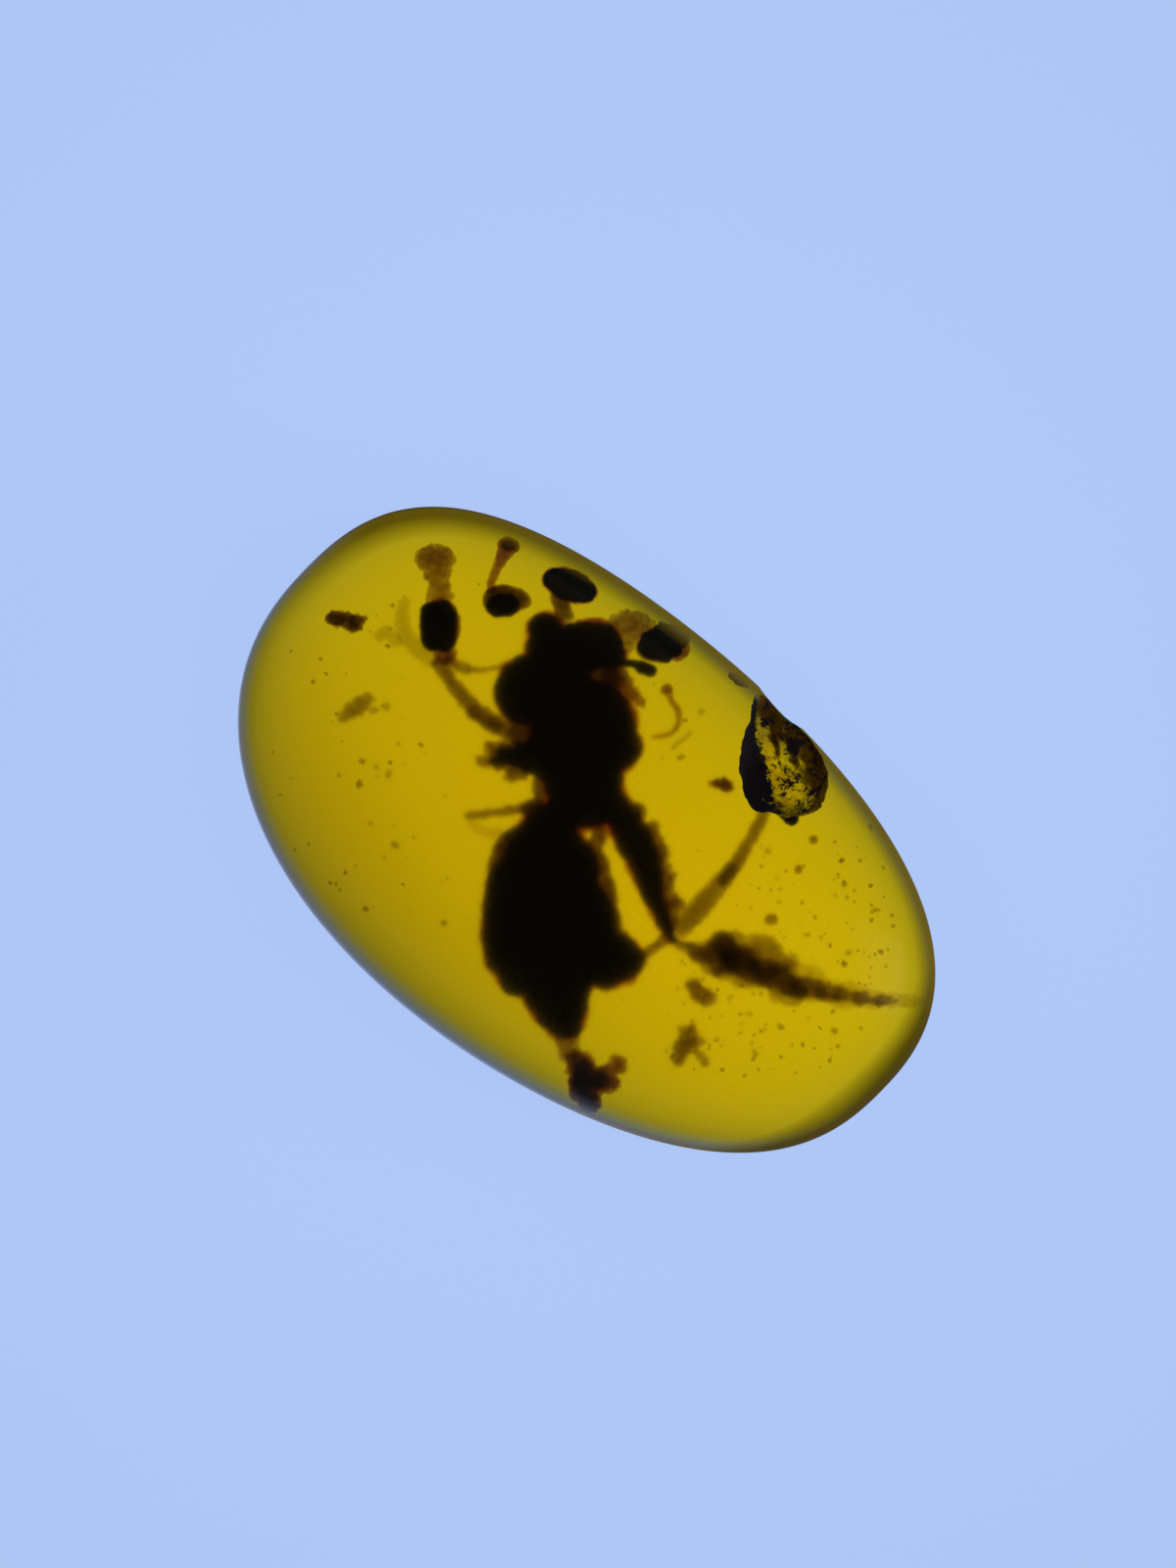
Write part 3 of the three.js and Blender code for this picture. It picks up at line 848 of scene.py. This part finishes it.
# A band of debris and its faint veils, clumps at the tail, and a few flecks
debris = {
    "debrisBand": {
        "finish": denseTissue,
        "balls": [(1.88, -1.66, 2.0, 0.16, 0.11, 0.12), (1.66, -1.56, 2.0, 0.2, 0.07, 0.08, -20),
                  (2.2, -1.56, 2.0, 0.22, 0.2, 0.16), (2.24, -1.8, 2.0, 0.26, 0.2, 0.1),
                  (2.5, -1.8, 2.0, 0.24, 0.14, 0.07, -20)],
        "bumps": [(0.12, 0.2), (0.07, 0.07)], "voxel": 0.025,
    },
    "debrisTail": {
        "finish": debrisMatter,
        "balls": [(2.5, -1.8, 2.0, 0.36, 0.24, 0.12, -15), (2.9, -1.98, 2.0, 0.42, 0.22, 0.16, -15),
                  (3.34, -2.18, 2.0, 0.3, 0.18, 0.14, -10), (3.66, -2.22, 2.0, 0.26, 0.13, 0.12, -8),
                  (3.98, -2.28, 2.0, 0.26, 0.11, 0.1, -8), (4.28, -2.34, 2.0, 0.24, 0.09, 0.08, -8),
                  (4.6, -2.38, 2.0, 0.3, 0.07, 0.05, -4)],
        "bumps": [(0.08, 0.2), (0.05, 0.07)], "voxel": 0.025,
    },
    "debrisVeil": {
        "finish": faintTissue,
        "balls": [(2.3, -1.7, 2.0, 0.46, 0.38, 0.2), (2.8, -1.66, 2.0, 0.36, 0.28, 0.14, -30),
                  (3.1, -1.84, 2.0, 0.24, 0.2, 0.12), (3.2, -2.24, 2.0, 0.34, 0.2, 0.14),
                  (2.6, -1.98, 2.0, 0.46, 0.2, 0.16, -10), (1.9, -1.66, 2.0, 0.22, 0.16, 0.12)],
        "bumps": [(0.1, 0.16), (0.06, 0.06)], "voxel": 0.025,
    },
    "debrisVeilEnd": {
        "finish": paleTissue,
        "balls": [(4.6, -2.38, 2.0, 0.4, 0.13, 0.12, -4), (5.0, -2.4, 2.0, 0.3, 0.1, 0.1),
                  (4.1, -2.3, 2.0, 0.5, 0.2, 0.14, -6), (3.4, -2.1, 2.0, 0.5, 0.3, 0.16, -15)],
        "bumps": [(0.05, 0.16), (0.03, 0.06)], "voxel": 0.025,
    },
    "smallClump": {
        "finish": debrisMatter,
        "balls": [(1.76, -2.18, 2.0, 0.13, 0.12, 0.1, -30), (1.95, -2.33, 2.0, 0.14, 0.12, 0.1, -30),
                  (1.84, -2.3, 2.0, 0.13, 0.12, 0.1)],
        "bumps": [(0.06, 0.08), (0.03, 0.04)], "voxel": 0.018,
    },
    "lowerClump": {
        "finish": debrisMatter,
        "balls": [(1.66, -2.9, 2.0, 0.13, 0.12, 0.09), (1.72, -3.02, 2.0, 0.14, 0.12, 0.1),
                  (1.6, -3.1, 2.0, 0.14, 0.13, 0.11), (1.52, -3.26, 2.0, 0.1, 0.1, 0.09),
                  (1.84, -3.02, 2.0, 0.07, 0.06, 0.05), (1.92, -3.33, 2.0, 0.06, 0.09, 0.05, 30),
                  (1.84, -3.22, 2.0, 0.05, 0.06, 0.04, 30)],
        "bumps": [(0.08, 0.08), (0.05, 0.035)], "voxel": 0.016,
    },
    "tailNeck": {
        "finish": brownTissue,
        "balls": [(-0.2, -2.96, 1.9, 0.19, 0.22, 0.14), (-0.16, -3.2, 1.9, 0.18, 0.16, 0.12)],
    },
    "tailClump": {
        "finish": reddishTissue,
        "balls": [(0.02, -3.42, 1.9, 0.2, 0.21, 0.2), (0.02, -3.7, 1.9, 0.2, 0.25, 0.2),
                  (0.28, -3.6, 1.9, 0.24, 0.2, 0.2), (0.42, -3.66, 1.9, 0.18, 0.14, 0.14),
                  (0.14, -3.94, 1.9, 0.18, 0.17, 0.16), (0.59, -3.37, 1.9, 0.11, 0.13, 0.12),
                  (0.48, -3.46, 1.9, 0.14, 0.1, 0.1), (-0.06, -3.3, 1.9, 0.13, 0.15, 0.12)],
        "bumps": [(0.06, 0.12), (0.05, 0.05)], "voxel": 0.02,
    },
    "tailCore": {
        "finish": denseTissue,
        "balls": [(0.05, -3.58, 1.9, 0.16, 0.3, 0.14), (0.24, -3.62, 1.9, 0.22, 0.13, 0.12),
                  (0.12, -3.85, 1.9, 0.13, 0.14, 0.1)],
        "bumps": [(0.06, 0.1)], "voxel": 0.02,
    },
    "leftFleck": {
        "finish": denseTissue,
        "balls": [(-3.74, 3.5, 2.4, 0.17, 0.1, 0.2), (-3.5, 3.43, 2.4, 0.15, 0.12, 0.2),
                  (-3.62, 3.5, 2.4, 0.1, 0.08, 0.16), (-3.4, 3.47, 2.4, 0.09, 0.06, 0.12, 30)],
        "bumps": [(0.06, 0.08), (0.03, 0.035)], "voxel": 0.018,
    },
    "oliveWedge": {
        "finish": faintTissue,
        "limbs": [[(-3.72, 1.94, 2.0, 0.04), (-3.62, 2.0, 2.0, 0.09), (-3.47, 2.1, 2.0, 0.12),
                   (-3.3, 2.24, 2.0, 0.1), (-3.18, 2.3, 2.0, 0.04)]],
        "balls": [(-3.16, 2.08, 2.0, 0.05, 0.05, 0.05), (-2.98, 2.14, 2.0, 0.05, 0.05, 0.05)],
        "voxel": 0.018, "bumps": [(0.05, 0.1), (0.03, 0.04)],
    },
    "faintArch": {
        "finish": paleTissue,
        "limbs": [[(-3.14, 3.17, 2.2, 0.07), (-3.05, 3.26, 2.2, 0.09), (-2.94, 3.28, 2.2, 0.09),
                   (-2.8, 3.08, 2.2, 0.08)]],
        "voxel": 0.018,
    },
}
addGroup(debris, seed=300)
print("debris made")

# Tiny bubbles and grains: single ones are (x, y, then two radii), and clouds are scattered at random
specks = {
    "placed": [(3.6, 0.09, 0.08, 0.08), (3.37, -0.37, 0.07, 0.08), (2.95, -1.14, 0.11, 0.1),
               (4.07, -0.59, 0.05, 0.05), (4.04, -0.23, 0.05, 0.04), (2.9, -0.08, 0.05, 0.05),
               (4.14, -1.65, 0.06, 0.05), (4.07, -1.83, 0.06, 0.05), (4.64, -1.64, 0.05, 0.05),
               (4.55, -1.0, 0.08, 0.04), (4.81, -1.09, 0.04, 0.03), (3.1, -2.8, 0.06, 0.05),
               (3.92, -2.86, 0.07, 0.05), (2.71, -3.22, 0.05, 0.04), (2.3, -2.35, 0.04, 0.04),
               (2.62, -2.6, 0.05, 0.04), (2.1, -3.0, 0.05, 0.04), (3.49, -1.38, 0.04, 0.04),
               (1.62, 1.93, 0.04, 0.04), (1.56, 1.36, 0.07, 0.05), (-2.85, 0.0, 0.08, 0.06),
               (-3.3, -0.98, 0.06, 0.05), (-2.1, -1.2, 0.06, 0.05), (-3.4, 0.95, 0.06, 0.07),
               (-3.36, 1.3, 0.05, 0.05), (-2.95, 1.1, 0.05, 0.07)],
    "clouds": [{"count": 170, "around": (3.9, -0.5), "reach": (1.3, 1.9), "size": (0.012, 0.05)},
               {"count": 120, "around": (3.2, -2.6), "reach": (1.9, 1.0), "size": (0.012, 0.05)},
               {"count": 80, "around": (-3.4, 0.6), "reach": (1.4, 3.2), "size": (0.012, 0.05)},
               {"count": 40, "around": (0.5, 1.0), "reach": (3.5, 4.0), "size": (0.01, 0.035)}],
    "levels": (2.0, 3.1), "cloudLevels": (2.2, 3.4), "tilt": 40, "slimness": (0.6, 1),
    "edgeRoom": 0.45, "roomPerRise": 0.45,  # kept clear of the rim, and more so higher up under the dome
    "hollowRoom": 1.5, "jitter": [(0.03, 0.04)],
}


def addSpecks():
    shape = bmesh.new()
    for x, y, wide, long in specks["placed"]:
        level, turn = random.uniform(*specks["levels"]), random.uniform(-specks["tilt"], specks["tilt"])
        addBall(shape, x, y, level, wide, long, min(wide, long), turn, 2)
    for cloud in specks["clouds"]:
        for _ in range(cloud["count"]):
            x, y = (middle + reach * random.uniform(-1, 1)
                    for middle, reach in zip(cloud["around"], cloud["reach"]))
            size = random.uniform(*cloud["size"])
            z = random.uniform(*specks["cloudLevels"])
            fromHollow = (cutterPlace(hollow).inverted() @ underDome(Vector((x, y, z)))).to_2d().length
            edgeRoom = specks["edgeRoom"] + specks["roomPerRise"] * (z - view["level"])
            if fromHollow >= specks["hollowRoom"] and stoneRoom(x, y) > edgeRoom:
                slim = size * random.uniform(*specks["slimness"])
                addBall(shape, x, y, z, size, slim, size, random.uniform(0, 180), 1)
    roughen(shape, specks["jitter"], seed=7)
    addPiece("specks", shape, legTissue)


addSpecks()
print("specks made")

# The stone lies on a bright panel, with a warm glow under it and a window low to one side
panel = {"colour": (0.388, 0.535, 0.892), "size": 0.4, "watts": 0.214, "spread": 125, "drop": 0.02}
glow = {"colour": (1.0, 0.52, 0.35), "length": 10.4, "width": 6.4, "at": (-0.2, 0.75), "watts": 0.0000142,
        "spread": 95, "drop": 0.01}
window = {"colour": (0.8, 0.9, 1.0), "azimuth": 30, "elevation": 19, "distance": 0.4, "size": 0.22,
          "watts": 0.09, "spread": 180}
paleFloor = {"colour": (0.62, 0.7, 0.82), "size": 2, "roughness": 0.8, "drop": 0.03}
room = {"zenith": (0.1, 0.1, 0.105), "horizon": (0.19, 0.2, 0.22), "zenithFrom": 0.45}
lightBounces = 32


def addAreaLamp(name, look, size, location, aim, shape="RECTANGLE", onView=False):
    lamp = bpy.data.lights.new(name, "AREA")
    lamp.shape = shape
    lamp.size, lamp.size_y = size
    lamp.energy = look["watts"]
    lamp.color = look["colour"]
    lamp.spread = math.radians(look["spread"])
    lampObject = objectFrom(lamp, name)
    lampObject.visible_camera = onView
    lampObject.location = location
    lampObject.rotation_euler = Vector(aim).to_track_quat("-Z", "Y").to_euler()


bpy.ops.mesh.primitive_plane_add(size=paleFloor["size"])
floor = bpy.context.object
floor.name = "floor"
floor.location.z = -paleFloor["drop"] * mm
floorFinish, tree = newFinish("pale floor")
matt = addNode(tree, "ShaderNodeBsdfPrincipled", None,
               {"Base Color": (*paleFloor["colour"], 1), "Roughness": paleFloor["roughness"],
                "Specular IOR Level": 0.0})
showSurface(tree, matt)
floor.data.materials.append(floorFinish)

up = (0, 0, 1)
addAreaLamp("panel", panel, (panel["size"], panel["size"]), (0, 0, -panel["drop"] * mm), up, onView=True)
addAreaLamp("glow", glow, (glow["length"] * mm, glow["width"] * mm),
            (glow["at"][0] * mm, glow["at"][1] * mm, -glow["drop"] * mm), up, "ELLIPSE")
azimuth, elevation = math.radians(window["azimuth"]), math.radians(window["elevation"])
toWindow = Vector((math.cos(azimuth) * math.cos(elevation), math.sin(azimuth) * math.cos(elevation),
                   math.sin(elevation)))
addAreaLamp("window", window, (window["size"], window["size"]), toWindow * window["distance"], -toWindow)

world = bpy.data.worlds.new("room")
world.use_nodes = True
tree = world.node_tree
tree.nodes.clear()
direction = Wire(addNode(tree, "ShaderNodeTexCoord").outputs["Generated"])
upward = Wire(addNode(tree, "ShaderNodeSeparateXYZ", None, {0: direction}).outputs[2])
shade = addRamp(tree, [(0.0, room["horizon"]), (room["zenithFrom"], room["zenith"])], upward)
background = addNode(tree, "ShaderNodeBackground", None, {"Color": shade})
addNode(tree, "ShaderNodeOutputWorld", None, {"Surface": Wire(background.outputs[0])})
bpy.context.scene.world = world

camera = bpy.data.cameras.new("camera")
camera.lens = view["lens"]
camera.sensor_width = view["sensor"]
camera.clip_start = mm
cameraObject = objectFrom(camera, "camera")
cameraObject.location = eyePoint * mm
cameraObject.rotation_euler = (0, 0, math.radians(view["turn"]))
bpy.context.scene.camera = cameraObject
bpy.context.scene.view_settings.view_transform = "Standard"
bpy.context.scene.cycles.max_bounces = lightBounces
bpy.context.scene.cycles.transmission_bounces = lightBounces
bpy.context.scene.cycles.transparent_max_bounces = lightBounces
print("floor, lights and camera placed")
